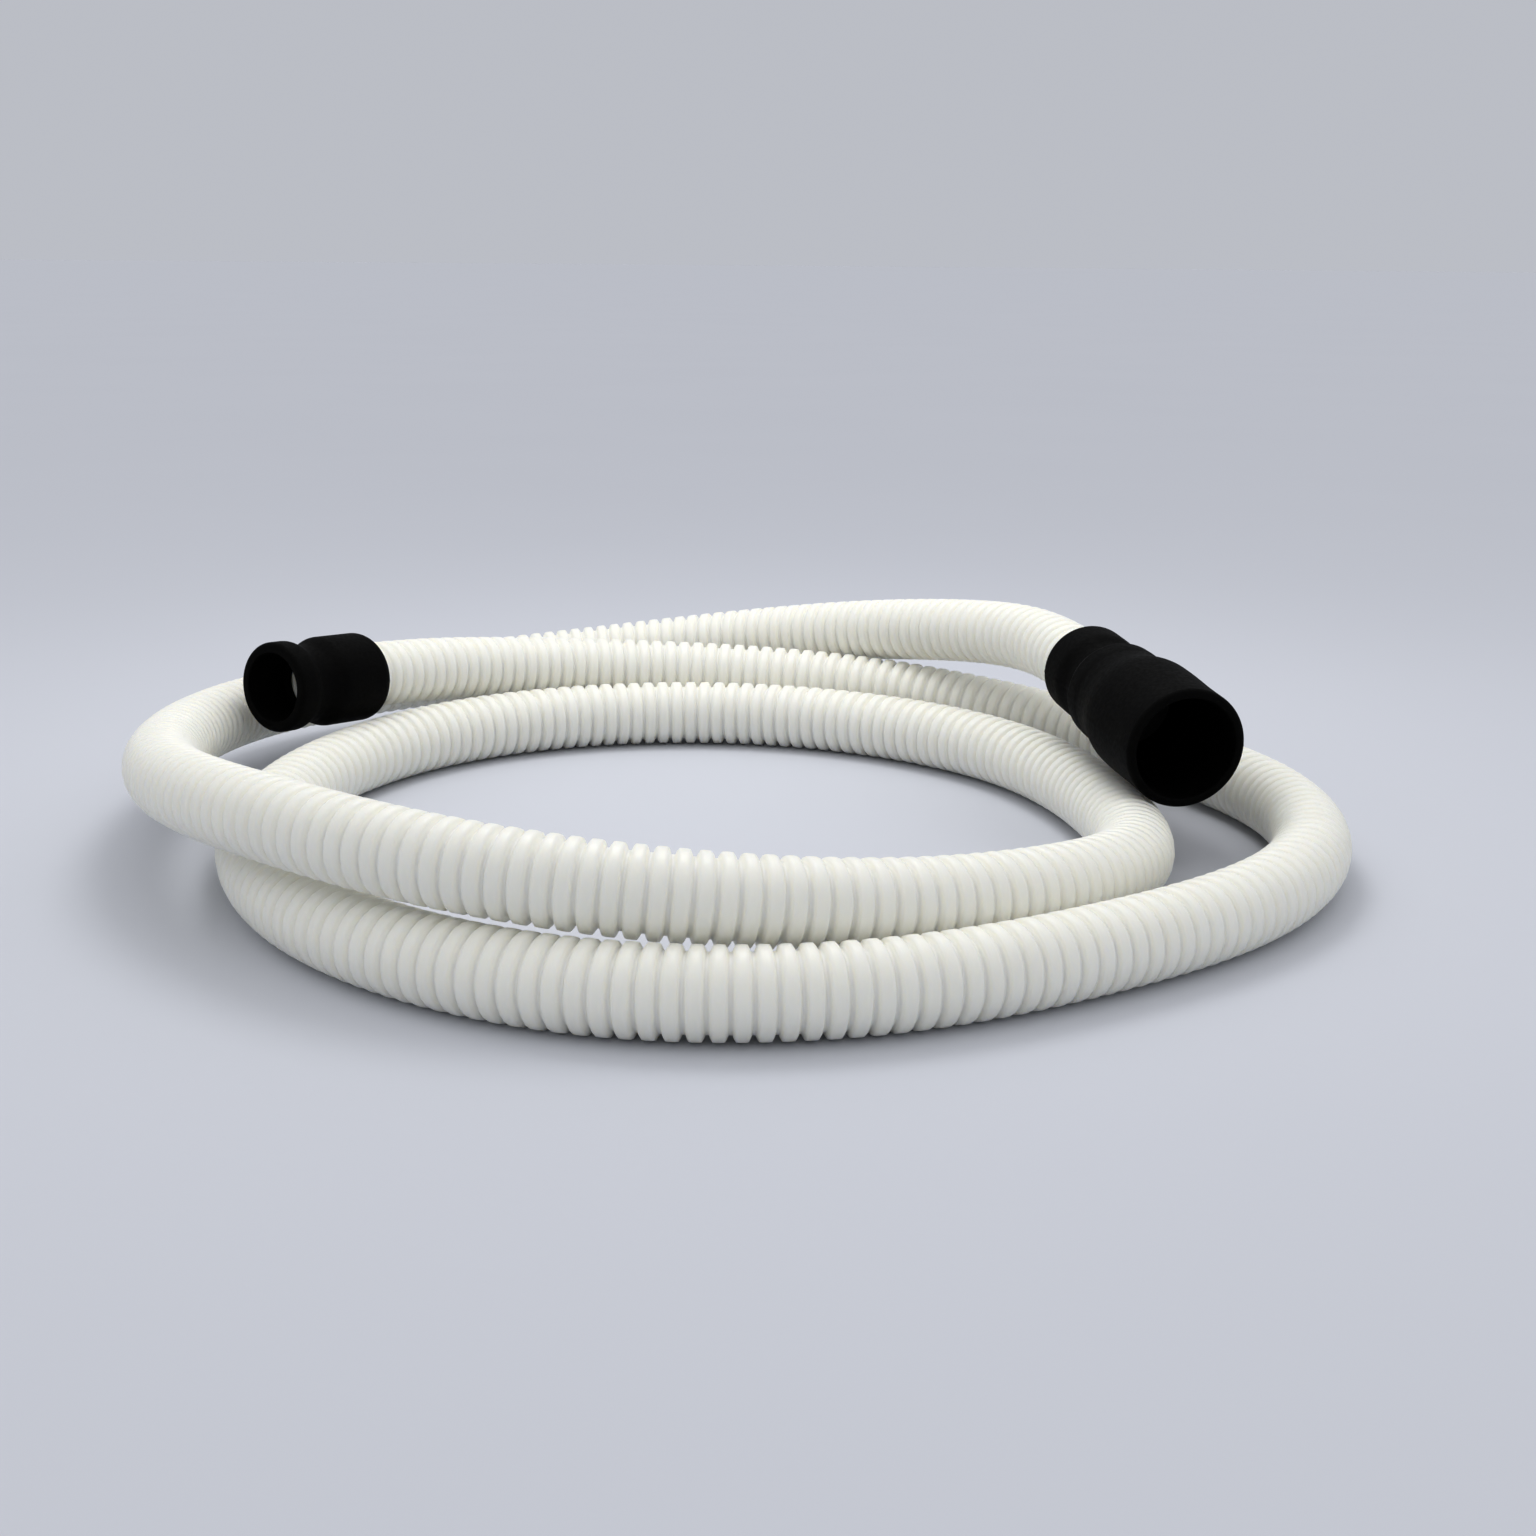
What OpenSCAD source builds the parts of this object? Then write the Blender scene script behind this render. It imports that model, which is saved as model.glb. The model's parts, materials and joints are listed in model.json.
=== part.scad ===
// Coiled suction hose for a pool cleaner: a corrugated hose with a fixed cuff on one end
// and a wide swivel cuff on the other. Millimetres, +Z up. The origin is on the floor,
// under the middle of the coil. The coil lies flat, and the fixed cuff is on its left.

/* [Hose] */
// Outside diameter of the hose, over the ribs
hose_d = 38; // [34:0.5:38]
// Bore of the hose
hose_bore = 30; // [26:0.5:32]
// Number of sides on the plain tube
hose_sides = 12; // [8:1:12]

/* [Fixed cuff] */
// Overall length of the fixed cuff
fixed_len = 70; // [68:1:72]
// Outside diameter of the fixed cuff's body
fixed_d = 50.5; // [48:0.5:51]
// Outside diameter at the fixed cuff's waist
fixed_waist_d = 43; // [42:0.2:45]
// Radius of the mouth of the fixed cuff, for a 38.1 mm pipe
fixed_mouth_r = 19.2; // [19.1:0.05:19.4]
// Depth of the mouth of the fixed cuff
fixed_mouth_depth = 26; // [20:1:26]
// Length of hose held in the fixed cuff
fixed_grip = 42; // [36:1:42]

/* [Swivel cuff] */
// Overall length, from the back of the collar to the mouth
swivel_len = 141; // [135:1:147]
// Outside diameter of the collar
collar_d = 50; // [48:0.5:52]
// Outside diameter of the collar's waist
collar_waist_d = 45; // [44:0.5:47]
// Length of the collar
collar_len = 43; // [41:1:43]
// Length of hose held in the collar
collar_grip = 33; // [29:1:33]
// Outside diameter of the shoulder behind the mouth
shoulder_d = 54.6; // [52:0.2:56]
// Outside diameter of the mouth at its thick end
mouth_d = 62; // [60:0.5:64]
// Radius of the mouth of the swivel cuff, for a 50.8 mm pipe
swivel_mouth_r = 25.5; // [25.45:0.05:25.8]
// Depth of the mouth of the swivel cuff
swivel_mouth_depth = 52; // [40:1:54]

/* [Swivel bearing] */
// Radius of the bush that the swivel cuff turns on
bush_r = 20; // [19.5:0.1:20.5]
// Radial running clearance round the bush
bush_clearance = 0.05; // [0.02:0.01:0.1]
// Length of the bush that is held in the collar
bush_tail = 8; // [7:0.5:8]
// Length of the bearing surface in the swivel cuff
bearing_len = 17.6; // [16:0.1:18]
// Radius of the flange that keeps the swivel cuff on
flange_r = 22.8; // [22:0.1:23]
// Thickness of the flange
flange_t = 3; // [2:0.5:4]
// Thickness of the thrust ring
thrust_t = 1.8; // [1.5:0.1:2]
// Gap at each end of the bearing
end_gap = 0.3; // [0.2:0.05:0.5]
// Radius of the seal ring's section
seal_r = 1; // [0.8:0.05:1.1]

/* [Hidden] */

hose_r = hose_d / 2;
bore_r = hose_bore / 2;
ivory = "#ecebdf";
black = "#0b0b0b";
bearing_black = "#1a1a1a";

// Where the hose's route joins each cuff, on the cuff's axis, and where the mouth points
fixed_join = [-216, 116, 57];
fixed_heading = -124;
fixed_pitch = 4;
swivel_join = [198, 62, 76];
swivel_heading = -78;
swivel_pitch = -5;

// How far each cuff's back face is behind that place, and how far behind it the hose is straight
fixed_back = 8;
swivel_back = 5;
lead_len = 60;

// The rounded back of a cuff starts at this angle of its arc, which leaves the hose's bore clear
back_arc_start = -75;

// Guide points of the hose's centreline between its two cuffs: the back strand that leaves the
// swivel cuff, the raised outer loop, the inner ring and the outer ring on the floor, and the
// strand that climbs to the fixed cuff. On the floor the height is half the hose's diameter.
floor_z = hose_r;
guides = [
    [150, 180, 76], [85, 245, 64], [0, 285, 49], [-100, 285, 36], [-195, 250, 30], [-265, 180, 32],
    [-295, 85, 37], [-290, -20, 44], [-255, -120, 55], [-190, -195, 62], [-110, -250, 59], [-10, -265, 50],
    [85, -240, 39], [165, -180, 31], [205, -105, 20], [200, -5, floor_z], [170, 95, 20], [95, 170, floor_z],
    [-5, 205, floor_z], [-110, 185, floor_z], [-190, 120, floor_z], [-230, 20, floor_z],
    [-230, -85, floor_z], [-190, -185, floor_z], [-115, -255, floor_z], [-25, -290, floor_z],
    [75, -280, floor_z], [165, -230, floor_z], [245, -170, floor_z], [295, -85, floor_z],
    [295, 15, floor_z], [250, 105, floor_z], [175, 175, 25], [85, 220, 33], [-15, 235, 37], [-110, 220, 42]
];

function unit(v) = v / norm(v);
function aim(heading, pitch) = [cos(pitch) * cos(heading), cos(pitch) * sin(heading), sin(pitch)];

// The whole route, with the straight leads into both cuffs
swivel_aim = aim(swivel_heading, swivel_pitch);
fixed_aim = aim(fixed_heading, fixed_pitch);
route = concat(
    [swivel_join + (collar_grip - swivel_back) * swivel_aim, swivel_join - lead_len * swivel_aim],
    guides,
    [fixed_join - lead_len * fixed_aim, fixed_join + (fixed_grip - fixed_back) * fixed_aim]
);

// The middle of each cuff's back face
swivel_pos = swivel_join - swivel_back * swivel_aim;
fixed_pos = fixed_join - fixed_back * fixed_aim;
last = len(route) - 1;

// A uniform cubic B-spline that starts and ends on the route's end points
function guide(i) =
    i < 0 ? 2 * route[0] - route[1] :
    i > last ? 2 * route[last] - route[last - 1] :
    route[i];
function window(i) = [for (k = [-1:2]) guide(i + k)];
function weights(t) = [
    pow(1 - t, 3),
    3 * pow(t, 3) - 6 * t * t + 4,
    -3 * pow(t, 3) + 3 * t * t + 3 * t + 1,
    pow(t, 3)
] / 6;
function slopes(t) = [-pow(1 - t, 2), 3 * t * t - 4 * t, -3 * t * t + 2 * t + 1, t * t] / 2;
function span_of(s) = min(floor(s), last - 1);
function centre(s) = weights(s - span_of(s)) * window(span_of(s));
function tangent(s) = unit(slopes(s - span_of(s)) * window(span_of(s)));

// One ring of points about the centreline, with its first point straight down
function ring(s, r) =
    let (
        along = tangent(s),
        side = unit(cross(along, [0, 0, 1])),
        down = cross(along, side),
        middle = centre(s)
    )
    [for (k = [0:hose_sides - 1])
        let (a = 360 * k / hose_sides)
        middle + r * (cos(a) * down + sin(a) * side)];

// A hollow tube along the whole route: outer wall, inner wall and the two ring-shaped ends
module tube_on_route(r_out, r_in, rings_per_span) {
    stations = [for (i = [0:last * rings_per_span]) i / rings_per_span];
    n = hose_sides;
    m = len(stations);
    inner = m * n;
    points = [for (r = [r_out, r_in], s = stations) each ring(s, r)];
    outer_wall = [for (j = [0:m - 2], k = [0:n - 1])
        let (a = j * n + k, b = j * n + (k + 1) % n)
        each [[a, b, b + n], [a, b + n, a + n]]];
    inner_wall = [for (j = [0:m - 2], k = [0:n - 1])
        let (a = inner + j * n + k, b = inner + j * n + (k + 1) % n)
        each [[a, b + n, b], [a, a + n, b + n]]];
    start_ring = [for (k = [0:n - 1]) let (a = k, b = (k + 1) % n)
        each [[a, inner + b, b], [a, inner + a, inner + b]]];
    end_ring = [for (k = [0:n - 1])
        let (a = (m - 1) * n + k, b = (m - 1) * n + (k + 1) % n)
        each [[a, b, inner + b], [a, inner + b, inner + a]]];
    polyhedron(points, concat(outer_wall, inner_wall, start_ring, end_ring));
}

// Places a part that is drawn with its back face at the origin and its mouth towards +Z
module placed(pos, heading, pitch) {
    translate(pos) rotate([0, 90 - pitch, heading]) children();
}

// Turns an outline of [radius, height] points about the part's axis
module turned(outline) {
    rotate_extrude($fn = 96) polygon(outline);
}

// Points of an arc in an outline
function arc(middle, r, from, to, steps = 6) =
    [for (i = [0:steps]) let (a = from + (to - from) * i / steps) middle + r * [cos(a), sin(a)]];

// Points of a smooth step in an outline, from radius r0 at height z0 to r1 at z1
function ease(r0, z0, r1, z1, steps = 6) =
    [for (i = [0:steps]) [r0 + (r1 - r0) * (1 - cos(180 * i / steps)) / 2, z0 + (z1 - z0) * i / steps]];

module corrugated_hose() {
    color(ivory) tube_on_route(hose_r, bore_r, 2);
}

module fixed_cuff() {
    body_r = fixed_d / 2;
    back_round = 8;
    lip_round = 2.5;
    waist_r = fixed_waist_d / 2;
    waist_start = 34;
    waist_low = 46;
    waist_high = 49;
    waist_end = 61;
    mouth_start = fixed_len - fixed_mouth_depth;
    outline = concat(
        [[hose_r, 0]],
        arc([body_r - back_round, back_round], back_round, back_arc_start, 0),
        ease(body_r, waist_start, waist_r, waist_low),
        ease(waist_r, waist_high, body_r, waist_end),
        arc([body_r - lip_round, fixed_len - lip_round], lip_round, 0, 90),
        [[fixed_mouth_r, fixed_len], [fixed_mouth_r, mouth_start], [bore_r, mouth_start],
         [bore_r, fixed_grip], [hose_r, fixed_grip]]
    );
    color(black) placed(fixed_pos, fixed_heading, fixed_pitch) turned(outline);
}

module swivel_collar() {
    body_r = collar_d / 2;
    waist_r = collar_waist_d / 2;
    back_round = 7;
    waist_start = 24;
    waist_end = 36;
    seat_z = collar_len - bush_tail;
    outline = concat(
        [[hose_r, 0]],
        arc([body_r - back_round, back_round], back_round, back_arc_start, 0),
        ease(body_r, waist_start, waist_r, waist_end),
        [[waist_r, collar_len], [bush_r, collar_len], [bush_r, seat_z], [bore_r, seat_z],
         [bore_r, collar_grip], [hose_r, collar_grip]]
    );
    color(black) placed(swivel_pos, swivel_heading, swivel_pitch) turned(outline);
}

// Heights along the swivel cuff's axis that its pieces share
cuff_back_z = collar_len + thrust_t + end_gap;
flange_z = cuff_back_z + bearing_len + end_gap;
seal_z = cuff_back_z + bearing_len / 2;

module swivel_bush() {
    groove_r = bush_r - 2 * seal_r;
    groove_room = 1.2;
    groove_half = groove_room * seal_r;
    outline = [
        [bore_r, collar_len - bush_tail], [bush_r, collar_len - bush_tail],
        [bush_r, seal_z - groove_half], [groove_r, seal_z - groove_half],
        [groove_r, seal_z + groove_half], [bush_r, seal_z + groove_half],
        [bush_r, flange_z], [flange_r, flange_z],
        [flange_r, flange_z + flange_t], [bore_r, flange_z + flange_t]
    ];
    color(bearing_black) placed(swivel_pos, swivel_heading, swivel_pitch) turned(outline);
}

module seal_ring() {
    color(black) placed(swivel_pos, swivel_heading, swivel_pitch)
        translate([0, 0, seal_z])
            rotate_extrude($fn = 96)
                translate([bush_r - seal_r, 0]) circle(r = seal_r, $fn = 24);
}

module thrust_ring() {
    ring_clearance = 0.2;
    ring_width = 4.6;
    ring_in = bush_r + ring_clearance;
    ring_out = ring_in + ring_width;
    outline = [
        [ring_in, collar_len], [ring_out, collar_len],
        [ring_out, collar_len + thrust_t], [ring_in, collar_len + thrust_t]
    ];
    color(bearing_black) placed(swivel_pos, swivel_heading, swivel_pitch) turned(outline);
}

module swivel_cuff() {
    shoulder_r = shoulder_d / 2;
    mouth_out_r = mouth_d / 2;
    mouth_taper = 0.7;
    lip_r = mouth_out_r - mouth_taper;
    back_round = 3;
    lip_round = 2.5;
    flange_clearance = 0.7;
    chamber_r = flange_r + flange_clearance;
    shoulder_end = 62;
    mouth_start = 91;
    bore_start = swivel_len - swivel_mouth_depth;
    outline = concat(
        [[bush_r + bush_clearance, cuff_back_z]],
        arc([shoulder_r - back_round, cuff_back_z + back_round], back_round, -90, 0),
        ease(shoulder_r, shoulder_end, mouth_out_r, mouth_start, 8),
        arc([lip_r - lip_round, swivel_len - lip_round], lip_round, 0, 90),
        [[swivel_mouth_r, swivel_len], [swivel_mouth_r, bore_start], [chamber_r, bore_start],
         [chamber_r, cuff_back_z + bearing_len], [bush_r + bush_clearance, cuff_back_z + bearing_len]]
    );
    color(black) placed(swivel_pos, swivel_heading, swivel_pitch) turned(outline);
}

corrugated_hose();
fixed_cuff();
swivel_collar();
swivel_bush();
seal_ring();
thrust_ring();
swivel_cuff();
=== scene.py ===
"""The looks of a coiled suction hose for a pool cleaner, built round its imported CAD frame, in metres."""

import json
import math

import bpy
import numpy as np
from mathutils import Matrix, Vector


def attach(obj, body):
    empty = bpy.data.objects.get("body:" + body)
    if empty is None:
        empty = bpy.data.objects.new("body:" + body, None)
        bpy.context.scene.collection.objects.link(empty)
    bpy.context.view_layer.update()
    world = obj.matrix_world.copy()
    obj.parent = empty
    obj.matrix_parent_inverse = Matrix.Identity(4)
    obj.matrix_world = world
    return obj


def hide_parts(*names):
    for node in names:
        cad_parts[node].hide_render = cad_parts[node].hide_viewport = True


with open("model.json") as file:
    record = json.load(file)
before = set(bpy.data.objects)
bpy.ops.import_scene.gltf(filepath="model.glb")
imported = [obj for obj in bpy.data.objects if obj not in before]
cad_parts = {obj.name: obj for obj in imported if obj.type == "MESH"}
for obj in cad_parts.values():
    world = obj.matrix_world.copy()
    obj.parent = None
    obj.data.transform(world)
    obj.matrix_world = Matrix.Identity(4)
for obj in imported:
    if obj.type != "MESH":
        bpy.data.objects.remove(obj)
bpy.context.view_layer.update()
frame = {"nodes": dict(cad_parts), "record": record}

# The camera, with its lens in millimetres and its turns in degrees
LENS = 45.93
SENSOR = 36.0
CAMERA_POS = (0.0233, -0.9916, 0.2928)
CAMERA_TILT = 75.417
CAMERA_ROLL = 0.487

# The hose, and the name of the mesh attribute that tells a rib's crest (1) from the groove (0); the
# grooves' painted light follows it
HOSE_D = 0.038
BORE_R = 0.0150
GROOVE_R = 0.0160
RIB_PITCH = 0.0087
RIB_HEIGHT = "rib_height"
HOSE_SEGMENTS = 24
ROUTE_STEPS = 60
# One rib as (share of the pitch, share of the rib's height): its crest, its flanks and the groove
RIB_PROFILE = [
    (0.12, 1.0), (0.26, 0.95), (0.34, 0.60), (0.42, 0.03),
    (0.58, 0.03), (0.66, 0.60), (0.74, 0.95), (0.88, 1.0),
]

# How far each cuff holds the hose and keeps it straight behind it, both from the cuff's back
COLLAR_GRIP = 0.033
SWIVEL_LEAD = 0.055
FIXED_GRIP = 0.042
FIXED_LEAD = 0.052

# Guide points of the hose's centreline between its two cuffs, as in the CAD source
GUIDES = [
    (0.150, 0.180, 0.076), (0.085, 0.245, 0.064), (0.000, 0.285, 0.049), (-0.100, 0.285, 0.036),
    (-0.195, 0.250, 0.030), (-0.265, 0.180, 0.032), (-0.295, 0.085, 0.037), (-0.290, -0.020, 0.044),
    (-0.255, -0.120, 0.055), (-0.190, -0.195, 0.062), (-0.110, -0.250, 0.059), (-0.010, -0.265, 0.050),
    (0.085, -0.240, 0.039), (0.165, -0.180, 0.031), (0.205, -0.105, 0.020), (0.200, -0.005, 0.019),
    (0.170, 0.095, 0.020), (0.095, 0.170, 0.019), (-0.005, 0.205, 0.019), (-0.110, 0.185, 0.019),
    (-0.190, 0.120, 0.019), (-0.230, 0.020, 0.019), (-0.230, -0.085, 0.019), (-0.190, -0.185, 0.019),
    (-0.115, -0.255, 0.019), (-0.025, -0.290, 0.019), (0.075, -0.280, 0.019), (0.165, -0.230, 0.019),
    (0.245, -0.170, 0.019), (0.295, -0.085, 0.019), (0.295, 0.015, 0.019), (0.250, 0.105, 0.019),
    (0.175, 0.175, 0.025), (0.085, 0.220, 0.033), (-0.015, 0.235, 0.037), (-0.110, 0.220, 0.042),
]

# Lengths of the cuffs along their axes, and depths of their mouths
FIXED_LEN = 0.070
FIXED_MOUTH_DEPTH = 0.026
SWIVEL_LEN = 0.141
SWIVEL_MOUTH_DEPTH = 0.052

# The cuffs' outlines below are in millimetres
MM = 0.001
CUFF_SEGMENTS = 144
SHARP_ANGLE = 35

# The fine line that a mould's halves leave on each side of a cuff: its height in millimetres, and the
# rows of each cuff's outline that carry it
MOULD_LINE = 0.22
FIXED_MOULD_ROWS = range(4, 29)
COLLAR_MOULD_ROWS = range(4, 20)
SWIVEL_MOULD_ROWS = range(6, 36)

# The floor's rings and the number of sides they have
FLOOR_RINGS = (0.6, 1.2, 2.5, 5.0, 10.0, 20.0, 40.0, 80.0)
FLOOR_SEGMENTS = 96

# The lamp over the coil, in metres and watts
KEY_POS = (0.0, 0.20, 0.8)
KEY_SIZE = 0.4
KEY_POWER = 1.8

# The dome's colours, and the heights between which they blend. Its horizon is as bright as the far
# floor that the dome lights
HORIZON = (0.570, 0.585, 0.628)
ZENITH = (1.05, 1.05, 1.06)
DOME_START = 0.15
DOME_END = 0.85
VIEW_GAMMA = 0.8


def mount(name):
    """Position and direction of one of the record's mounts."""
    found = next(m for m in frame["record"]["mounts"] if m["name"] == name)
    return Vector(found["pos_m"]), Vector(found["axis"]).normalized()


def back_of(name, length, mouth_depth):
    """The middle of a cuff's back face, and the direction that its mouth points in."""
    middle, aim = mount(name)
    return middle - aim * (length - mouth_depth / 2), aim


fixed_pos, fixed_aim = back_of("fixed_cuff_mouth", FIXED_LEN, FIXED_MOUTH_DEPTH)
swivel_pos, swivel_aim = back_of("swivel_cuff_mouth", SWIVEL_LEN, SWIVEL_MOUTH_DEPTH)


# ---------------------------------------------------------------- camera

def make_camera():
    data = bpy.data.cameras.new("camera")
    data.sensor_width = SENSOR
    data.lens = LENS
    camera = bpy.data.objects.new("camera", data)
    tilt = Matrix.Rotation(math.radians(CAMERA_TILT), 4, "X")
    roll = Matrix.Rotation(math.radians(CAMERA_ROLL), 4, "Z")
    camera.matrix_world = Matrix.Translation(CAMERA_POS) @ tilt @ roll
    bpy.context.scene.collection.objects.link(camera)
    bpy.context.scene.camera = camera


# ---------------------------------------------------------------- materials

def new_material(name):
    material = bpy.data.materials.new(name)
    material.use_nodes = True
    nodes = material.node_tree.nodes
    return material, nodes, material.node_tree.links, nodes["Principled BSDF"]


def noise(nodes, links, scale, detail=3.0):
    """A noise texture in the row frame, in waves per metre."""
    where = nodes.new("ShaderNodeTexCoord")
    texture = nodes.new("ShaderNodeTexNoise")
    texture.inputs["Scale"].default_value = scale
    texture.inputs["Detail"].default_value = detail
    links.new(where.outputs["Object"], texture.inputs["Vector"])
    return texture.outputs["Fac"]


def ramp(nodes, links, source, low, high, start=0.3, end=0.7):
    """Turns a value into a blend of two colours or two greys."""
    ramp_node = nodes.new("ShaderNodeValToRGB")
    first, second = ramp_node.color_ramp.elements
    first.position, second.position = start, end
    first.color = (*low, 1) if hasattr(low, "__len__") else (low, low, low, 1)
    second.color = (*high, 1) if hasattr(high, "__len__") else (high, high, high, 1)
    links.new(source, ramp_node.inputs["Fac"])
    return ramp_node.outputs["Color"]


def bump(nodes, links, shader, source, depth):
    """A fine relief, with its depth in metres."""
    node = nodes.new("ShaderNodeBump")
    node.inputs["Distance"].default_value = depth
    links.new(source, node.inputs["Height"])
    links.new(node.outputs["Normal"], shader.inputs["Normal"])


def hose_material():
    material, nodes, links, shader = new_material("ivory_plastic")
    shader.inputs["Subsurface Weight"].default_value = 0.5
    shader.inputs["Subsurface Radius"].default_value = (1.0, 0.9, 0.7)
    shader.inputs["Subsurface Scale"].default_value = 0.004
    mottle = noise(nodes, links, 60.0)
    crest = ramp(nodes, links, mottle, (0.85, 0.845, 0.785), (0.87, 0.865, 0.805))
    # Painted light: the grooves are painted paler and yellower than the crests. This stands in for light
    # that shines through the thin wall and bounces between the ribs, where the grooves would otherwise lie
    # in shade.
    rib_height = nodes.new("ShaderNodeAttribute")
    rib_height.attribute_name = RIB_HEIGHT
    painted_groove_light = nodes.new("ShaderNodeMix")
    painted_groove_light.data_type = "RGBA"
    painted_groove_light.inputs["A"].default_value = (0.97, 0.95, 0.86, 1.0)
    links.new(rib_height.outputs["Fac"], painted_groove_light.inputs["Factor"])
    links.new(crest, painted_groove_light.inputs["B"])
    links.new(painted_groove_light.outputs["Result"], shader.inputs["Base Color"])
    links.new(ramp(nodes, links, noise(nodes, links, 400.0), 0.36, 0.5), shader.inputs["Roughness"])
    bump(nodes, links, shader, noise(nodes, links, 900.0), 0.00008)
    return material


def rubber_material():
    material, nodes, links, shader = new_material("black_rubber")
    shader.inputs["Specular IOR Level"].default_value = 0.07
    mottle = noise(nodes, links, 120.0)
    black = ramp(nodes, links, mottle, (0.0010, 0.0010, 0.0010), (0.0020, 0.0020, 0.0018))
    links.new(black, shader.inputs["Base Color"])
    links.new(ramp(nodes, links, noise(nodes, links, 500.0), 0.6, 0.75), shader.inputs["Roughness"])
    bump(nodes, links, shader, noise(nodes, links, 1500.0), 0.00005)
    return material


def bearing_material():
    material, nodes, links, shader = new_material("black_bearing_plastic")
    mottle = noise(nodes, links, 200.0)
    black = ramp(nodes, links, mottle, (0.008, 0.008, 0.008), (0.014, 0.014, 0.014))
    links.new(black, shader.inputs["Base Color"])
    links.new(ramp(nodes, links, noise(nodes, links, 700.0), 0.35, 0.5), shader.inputs["Roughness"])
    return material


def floor_material():
    material, nodes, links, shader = new_material("pale_floor")
    shader.inputs["Specular IOR Level"].default_value = 0.0
    shader.inputs["Roughness"].default_value = 1.0
    mottle = noise(nodes, links, 2.0)
    pale = ramp(nodes, links, mottle, (0.622, 0.637, 0.680), (0.628, 0.643, 0.686))
    links.new(pale, shader.inputs["Base Color"])
    return material


# ---------------------------------------------------------------- mesh helpers

def new_piece(name, points, faces, material):
    mesh = bpy.data.meshes.new(name)
    mesh.from_pydata(points, [], faces)
    mesh.update()
    mesh.shade_smooth()
    mesh.materials.append(material)
    piece = bpy.data.objects.new(name, mesh)
    bpy.context.scene.collection.objects.link(piece)
    return piece


def tube_faces(rings, segments, start=0, flipped=False):
    """Quads between each ring of points and the next one."""
    faces = []
    for j in range(rings - 1):
        low = start + j * segments
        high = low + segments
        for k in range(segments):
            after = (k + 1) % segments
            quad = (low + k, low + after, high + after, high + k)
            faces.append(quad[::-1] if flipped else quad)
    return faces


# ---------------------------------------------------------------- hose

def spline(points):
    """A uniform cubic B-spline from the first point to the last: dense points on it and how far along it
    each one is."""
    first = 2 * points[0] - points[1]
    last = 2 * points[-1] - points[-2]
    guides = np.vstack([first, points, last])
    t = np.linspace(0, 1, ROUTE_STEPS, endpoint=False)[:, None]
    middle_weights = [3 * t**3 - 6 * t**2 + 4, -3 * t**3 + 3 * t**2 + 3 * t + 1]
    weights = np.hstack([(1 - t) ** 3, *middle_weights, t**3]) / 6
    spans = [weights @ guides[i:i + 4] for i in range(len(points) - 1)]
    line = np.vstack([*spans, points[-1:]])
    along = np.concatenate([[0], np.cumsum(np.linalg.norm(np.diff(line, axis=0), axis=1))])
    return line, along


def unit(v):
    return v / np.linalg.norm(v, axis=-1, keepdims=True)


def hose_route():
    """The route's points, with the straight leads into both cuffs."""
    swivel_end = [swivel_pos + swivel_aim * COLLAR_GRIP, swivel_pos - swivel_aim * SWIVEL_LEAD]
    fixed_end = [fixed_pos - fixed_aim * FIXED_LEAD, fixed_pos + fixed_aim * FIXED_GRIP]
    return np.array([*swivel_end, *GUIDES, *fixed_end], float)


def rings_at(stations, radii, line, along):
    """A ring of points at each distance along the line."""
    at = np.stack([np.interp(stations, along, line[:, k]) for k in range(3)], axis=1)
    slope = np.gradient(line, along, axis=0)
    ahead = unit(np.stack([np.interp(stations, along, slope[:, k]) for k in range(3)], axis=1))
    side = unit(np.cross(ahead, [0.0, 0.0, 1.0]))
    down = np.cross(ahead, side)
    turn = np.linspace(0, 2 * math.pi, HOSE_SEGMENTS, endpoint=False)
    low_part = down[:, None, :] * np.cos(turn)[None, :, None]
    side_part = side[:, None, :] * np.sin(turn)[None, :, None]
    return (at[:, None, :] + (low_part + side_part) * radii[:, None, None]).reshape(-1, 3)


def make_hose(material):
    line, along = spline(hose_route())
    length = along[-1]
    ribs = round(length / RIB_PITCH)
    pitch = length / ribs
    outer_at = np.array([(i + share) * pitch for i in range(ribs) for share, _ in RIB_PROFILE])
    heights = np.array([height for _ in range(ribs) for _, height in RIB_PROFILE])
    outer_r = GROOVE_R + (HOSE_D / 2 - GROOVE_R) * heights
    inner_at = np.linspace(outer_at[0], outer_at[-1], ribs // 2)
    inner_r = np.full(len(inner_at), BORE_R)
    outer_points = rings_at(outer_at, outer_r, line, along)
    inner_points = rings_at(inner_at, inner_r, line, along)
    points = np.vstack([outer_points, inner_points])
    n = HOSE_SEGMENTS
    inner_start = len(outer_at) * n
    faces = tube_faces(len(outer_at), n)
    faces += tube_faces(len(inner_at), n, inner_start, flipped=True)
    outer_end = inner_start - n
    inner_end = len(points) - n
    for k in range(n):
        after = (k + 1) % n
        faces.append((inner_start + k, inner_start + after, after, k))
        faces.append((outer_end + k, outer_end + after, inner_end + after, inner_end + k))
    hose = new_piece("corrugated_hose_tube", points.tolist(), faces, material)
    # The faces above all point into the hose's wall, so they are turned outwards
    hose.data.flip_normals()
    ring_heights = np.concatenate([heights, np.ones(len(inner_at))])
    shade = hose.data.attributes.new(RIB_HEIGHT, "FLOAT", "POINT")
    shade.data.foreach_set("value", np.repeat(ring_heights, n))
    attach(hose, "hose")
    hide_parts("corrugated_hose")
    return hose, line


# ---------------------------------------------------------------- cuffs

def arc(middle, r, start, end, steps=8):
    """Points of an arc in an outline, in millimetres and degrees."""
    turns = [math.radians(start + (end - start) * i / steps) for i in range(steps + 1)]
    return [(middle[0] + r * math.cos(a), middle[1] + r * math.sin(a)) for a in turns]


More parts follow.
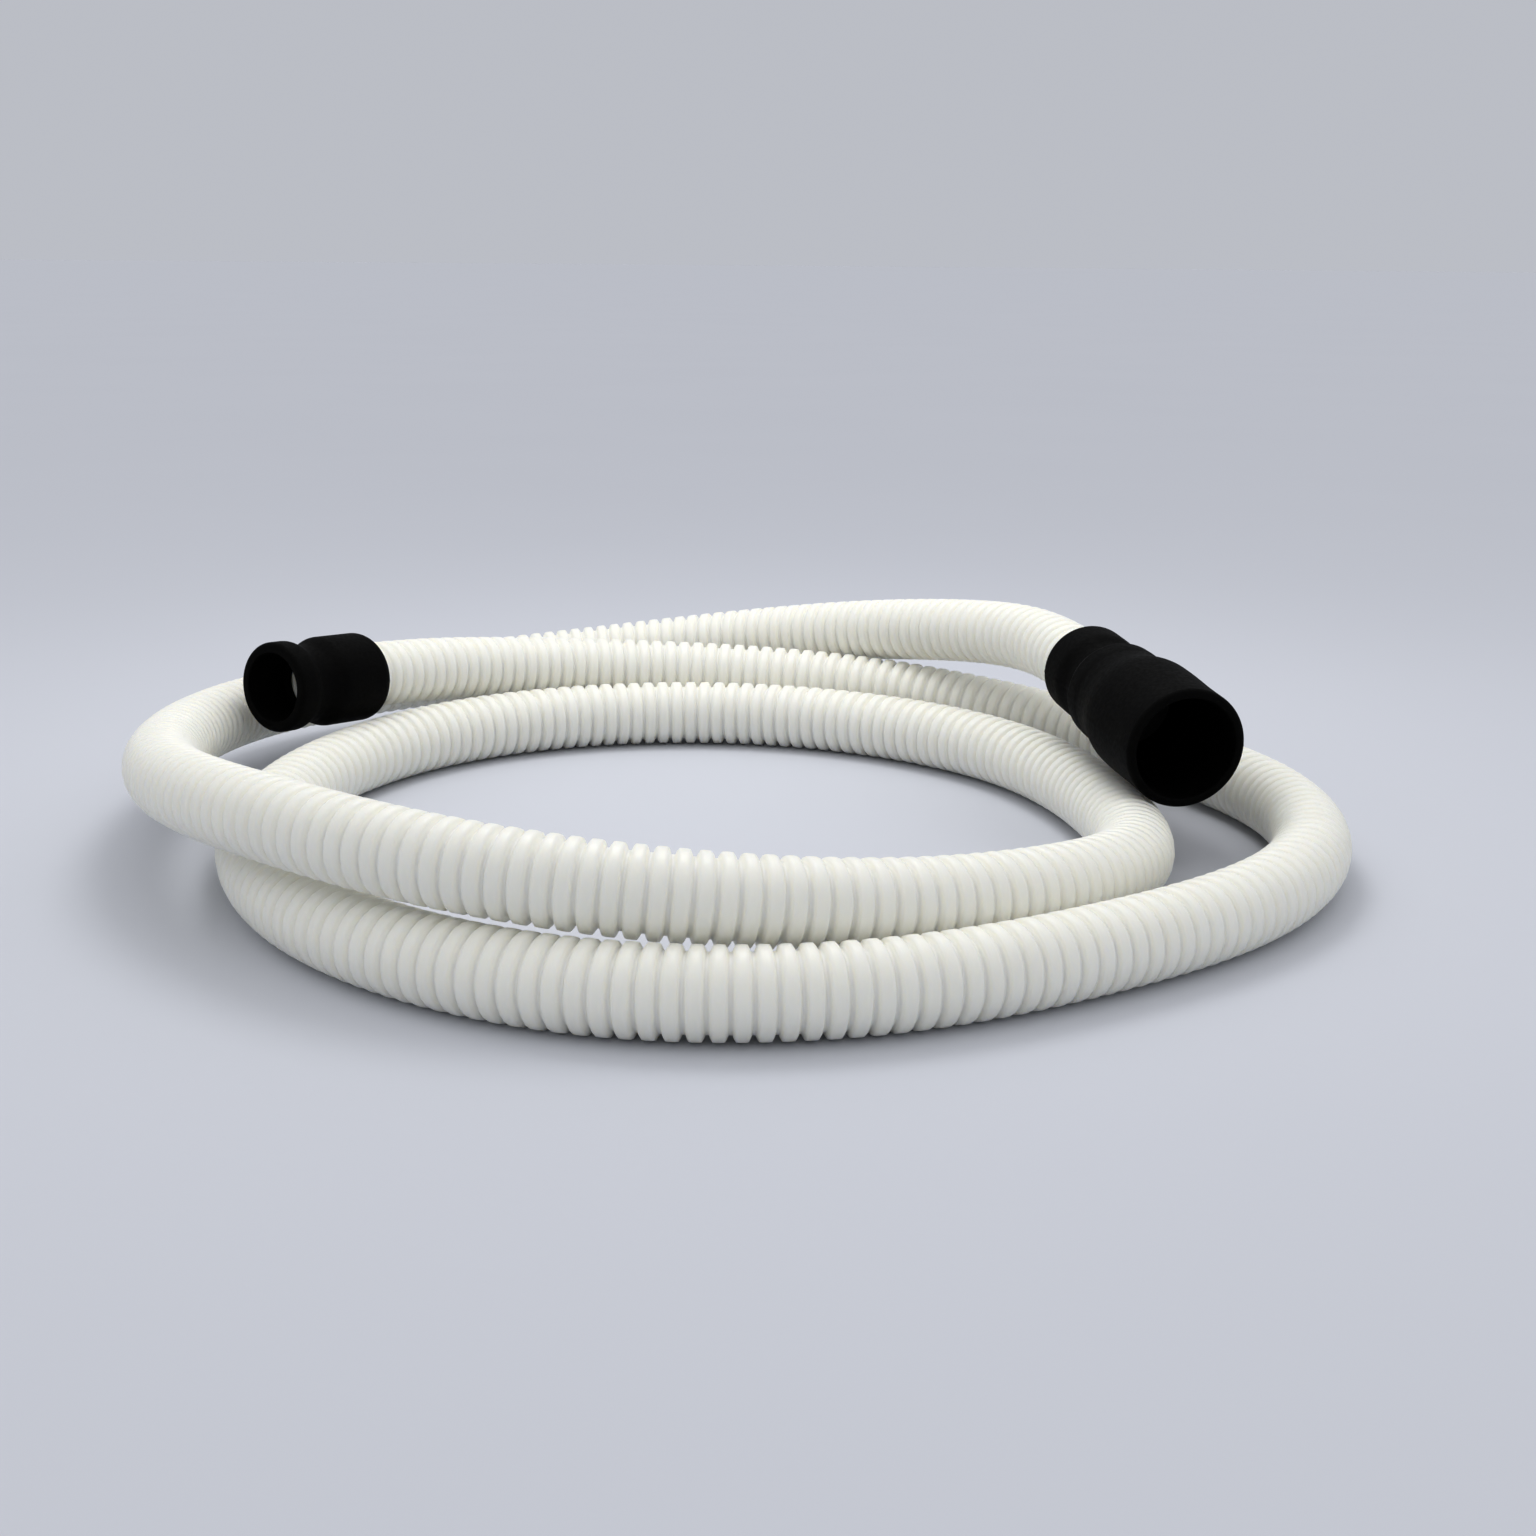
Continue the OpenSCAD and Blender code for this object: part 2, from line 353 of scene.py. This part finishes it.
def ease(r0, z0, r1, z1, steps=8):
    """Points of a smooth step from one radius to another."""
    return [
        (r0 + (r1 - r0) * (1 - math.cos(math.pi * i / steps)) / 2, z0 + (z1 - z0) * i / steps)
        for i in range(steps + 1)
    ]


def turned(name, outline, mould_rows, pos, aim, material):
    """A solid of revolution from a closed outline of (radius, height) in millimetres, with a mould's fine
    line on two sides."""
    place = Matrix.Translation(pos) @ aim.to_track_quat("Z", "Y").to_matrix().to_4x4()
    n = CUFF_SEGMENTS
    points = []
    for row, (r, z) in enumerate(outline):
        for k in range(n):
            a = 2 * math.pi * k / n
            on_line = row in mould_rows and k % (n // 2) == 0
            reach = r + MOULD_LINE if on_line else r
            points.append(place @ (Vector((reach * math.cos(a), reach * math.sin(a), z)) * MM))
    rows = len(outline)
    faces = tube_faces(rows, n)
    last = (rows - 1) * n
    faces += [(last + k, last + (k + 1) % n, (k + 1) % n, k) for k in range(n)]
    piece = new_piece(name, points, faces, material)
    piece.data.set_sharp_from_angle(angle=math.radians(SHARP_ANGLE))
    return piece


def make_fixed_cuff(material):
    body = [*ease(25.25, 34.0, 21.5, 46.0), *ease(21.5, 49.0, 25.0, 60.0)]
    lip = [*arc((22.2, 67.2), 2.8, 0, 90), *arc((20.2, 69.0), 1.0, 90, 180)]
    socket = [(19.2, 44.0), (15.0, 44.0), (15.0, 42.0), (19.1, 42.0)]
    outline = [(19.1, 0.0), *arc((17.4, 8.0), 7.85, -75, 0), *body, *lip, *socket]
    piece = turned("fixed_cuff_moulding", outline, FIXED_MOULD_ROWS, fixed_pos, fixed_aim, material)
    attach(piece, "hose")
    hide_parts("fixed_cuff")
    return piece


def make_swivel_collar(material):
    body = [*ease(25.0, 22.0, 22.5, 35.0), (22.5, 42.4), (21.9, 43.0)]
    socket = [(20.0, 43.0), (20.0, 35.0), (15.0, 35.0), (15.0, 33.0), (19.1, 33.0)]
    outline = [(19.1, 0.0), *arc((18.2, 7.0), 6.8, -75, 0), *body, *socket]
    piece = turned(
        "swivel_collar_moulding", outline, COLLAR_MOULD_ROWS, swivel_pos, swivel_aim, material,
    )
    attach(piece, "hose")
    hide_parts("swivel_collar")


def make_swivel_cuff(material):
    back = arc((23.3, 49.1), 4.0, -90, 0)
    shoulder = [*ease(27.3, 49.5, 27.5, 55.0, 3), *ease(27.5, 57.0, 27.2, 62.0, 4)]
    body = [*ease(27.4, 64.0, 31.0, 91.0), *ease(31.0, 97.0, 30.3, 127.0, 5)]
    lip = [*arc((27.7, 138.4), 2.6, 0, 90), *arc((26.7, 139.8), 1.2, 90, 180)]
    socket = [(25.5, 89.0), (23.5, 89.0), (23.5, 62.7), (20.05, 62.7)]
    outline = [(20.05, 45.1), *back, *shoulder, *body, *lip, *socket]
    piece = turned("swivel_cuff_moulding", outline, SWIVEL_MOULD_ROWS, swivel_pos, swivel_aim, material)
    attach(piece, "swivel")
    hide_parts("swivel_cuff")


# ---------------------------------------------------------------- stage and light

def make_floor():
    """A large flat round floor."""
    n = FLOOR_SEGMENTS
    turns = np.linspace(0, 2 * math.pi, n, endpoint=False)
    points = [(0.0, 0.0, 0.0)]
    for r in FLOOR_RINGS:
        points += [(r * math.cos(a), r * math.sin(a), 0.0) for a in turns]
    faces = [(0, 1 + k, 1 + (k + 1) % n) for k in range(n)]
    faces += tube_faces(len(FLOOR_RINGS), n, 1, flipped=True)
    new_piece("floor", points, faces, floor_material())


def make_lamp():
    """A soft round lamp that points at the origin."""
    data = bpy.data.lights.new("key", "AREA")
    data.shape = "DISK"
    data.size = KEY_SIZE
    data.energy = KEY_POWER
    lamp = bpy.data.objects.new("key", data)
    lamp.location = KEY_POS
    lamp.rotation_mode = "QUATERNION"
    lamp.rotation_quaternion = (-Vector(KEY_POS)).to_track_quat("-Z", "Y")
    bpy.context.scene.collection.objects.link(lamp)


def make_dome():
    """A pale dome that is darker at the horizon, and the picture's tone."""
    world = bpy.data.worlds.new("studio")
    world.use_nodes = True
    nodes = world.node_tree.nodes
    links = world.node_tree.links
    where = nodes.new("ShaderNodeTexCoord")
    height = nodes.new("ShaderNodeSeparateXYZ")
    links.new(where.outputs["Generated"], height.inputs["Vector"])
    dome = ramp(nodes, links, height.outputs["Z"], HORIZON, ZENITH, DOME_START, DOME_END)
    links.new(dome, nodes["Background"].inputs["Color"])
    bpy.context.scene.world = world
    view = bpy.context.scene.view_settings
    view.view_transform = "Standard"
    view.gamma = VIEW_GAMMA


make_camera()
hose, route_line = make_hose(hose_material())
rubber = rubber_material()
fixed_cuff = make_fixed_cuff(rubber)
make_swivel_collar(rubber)
make_swivel_cuff(rubber)
bearing = bearing_material()
for node, material in (("swivel_bush", bearing), ("thrust_ring", bearing), ("seal_ring", rubber)):
    slots = frame["nodes"][node].data.materials
    slots.clear()
    slots.append(material)
make_floor()
make_lamp()
make_dome()
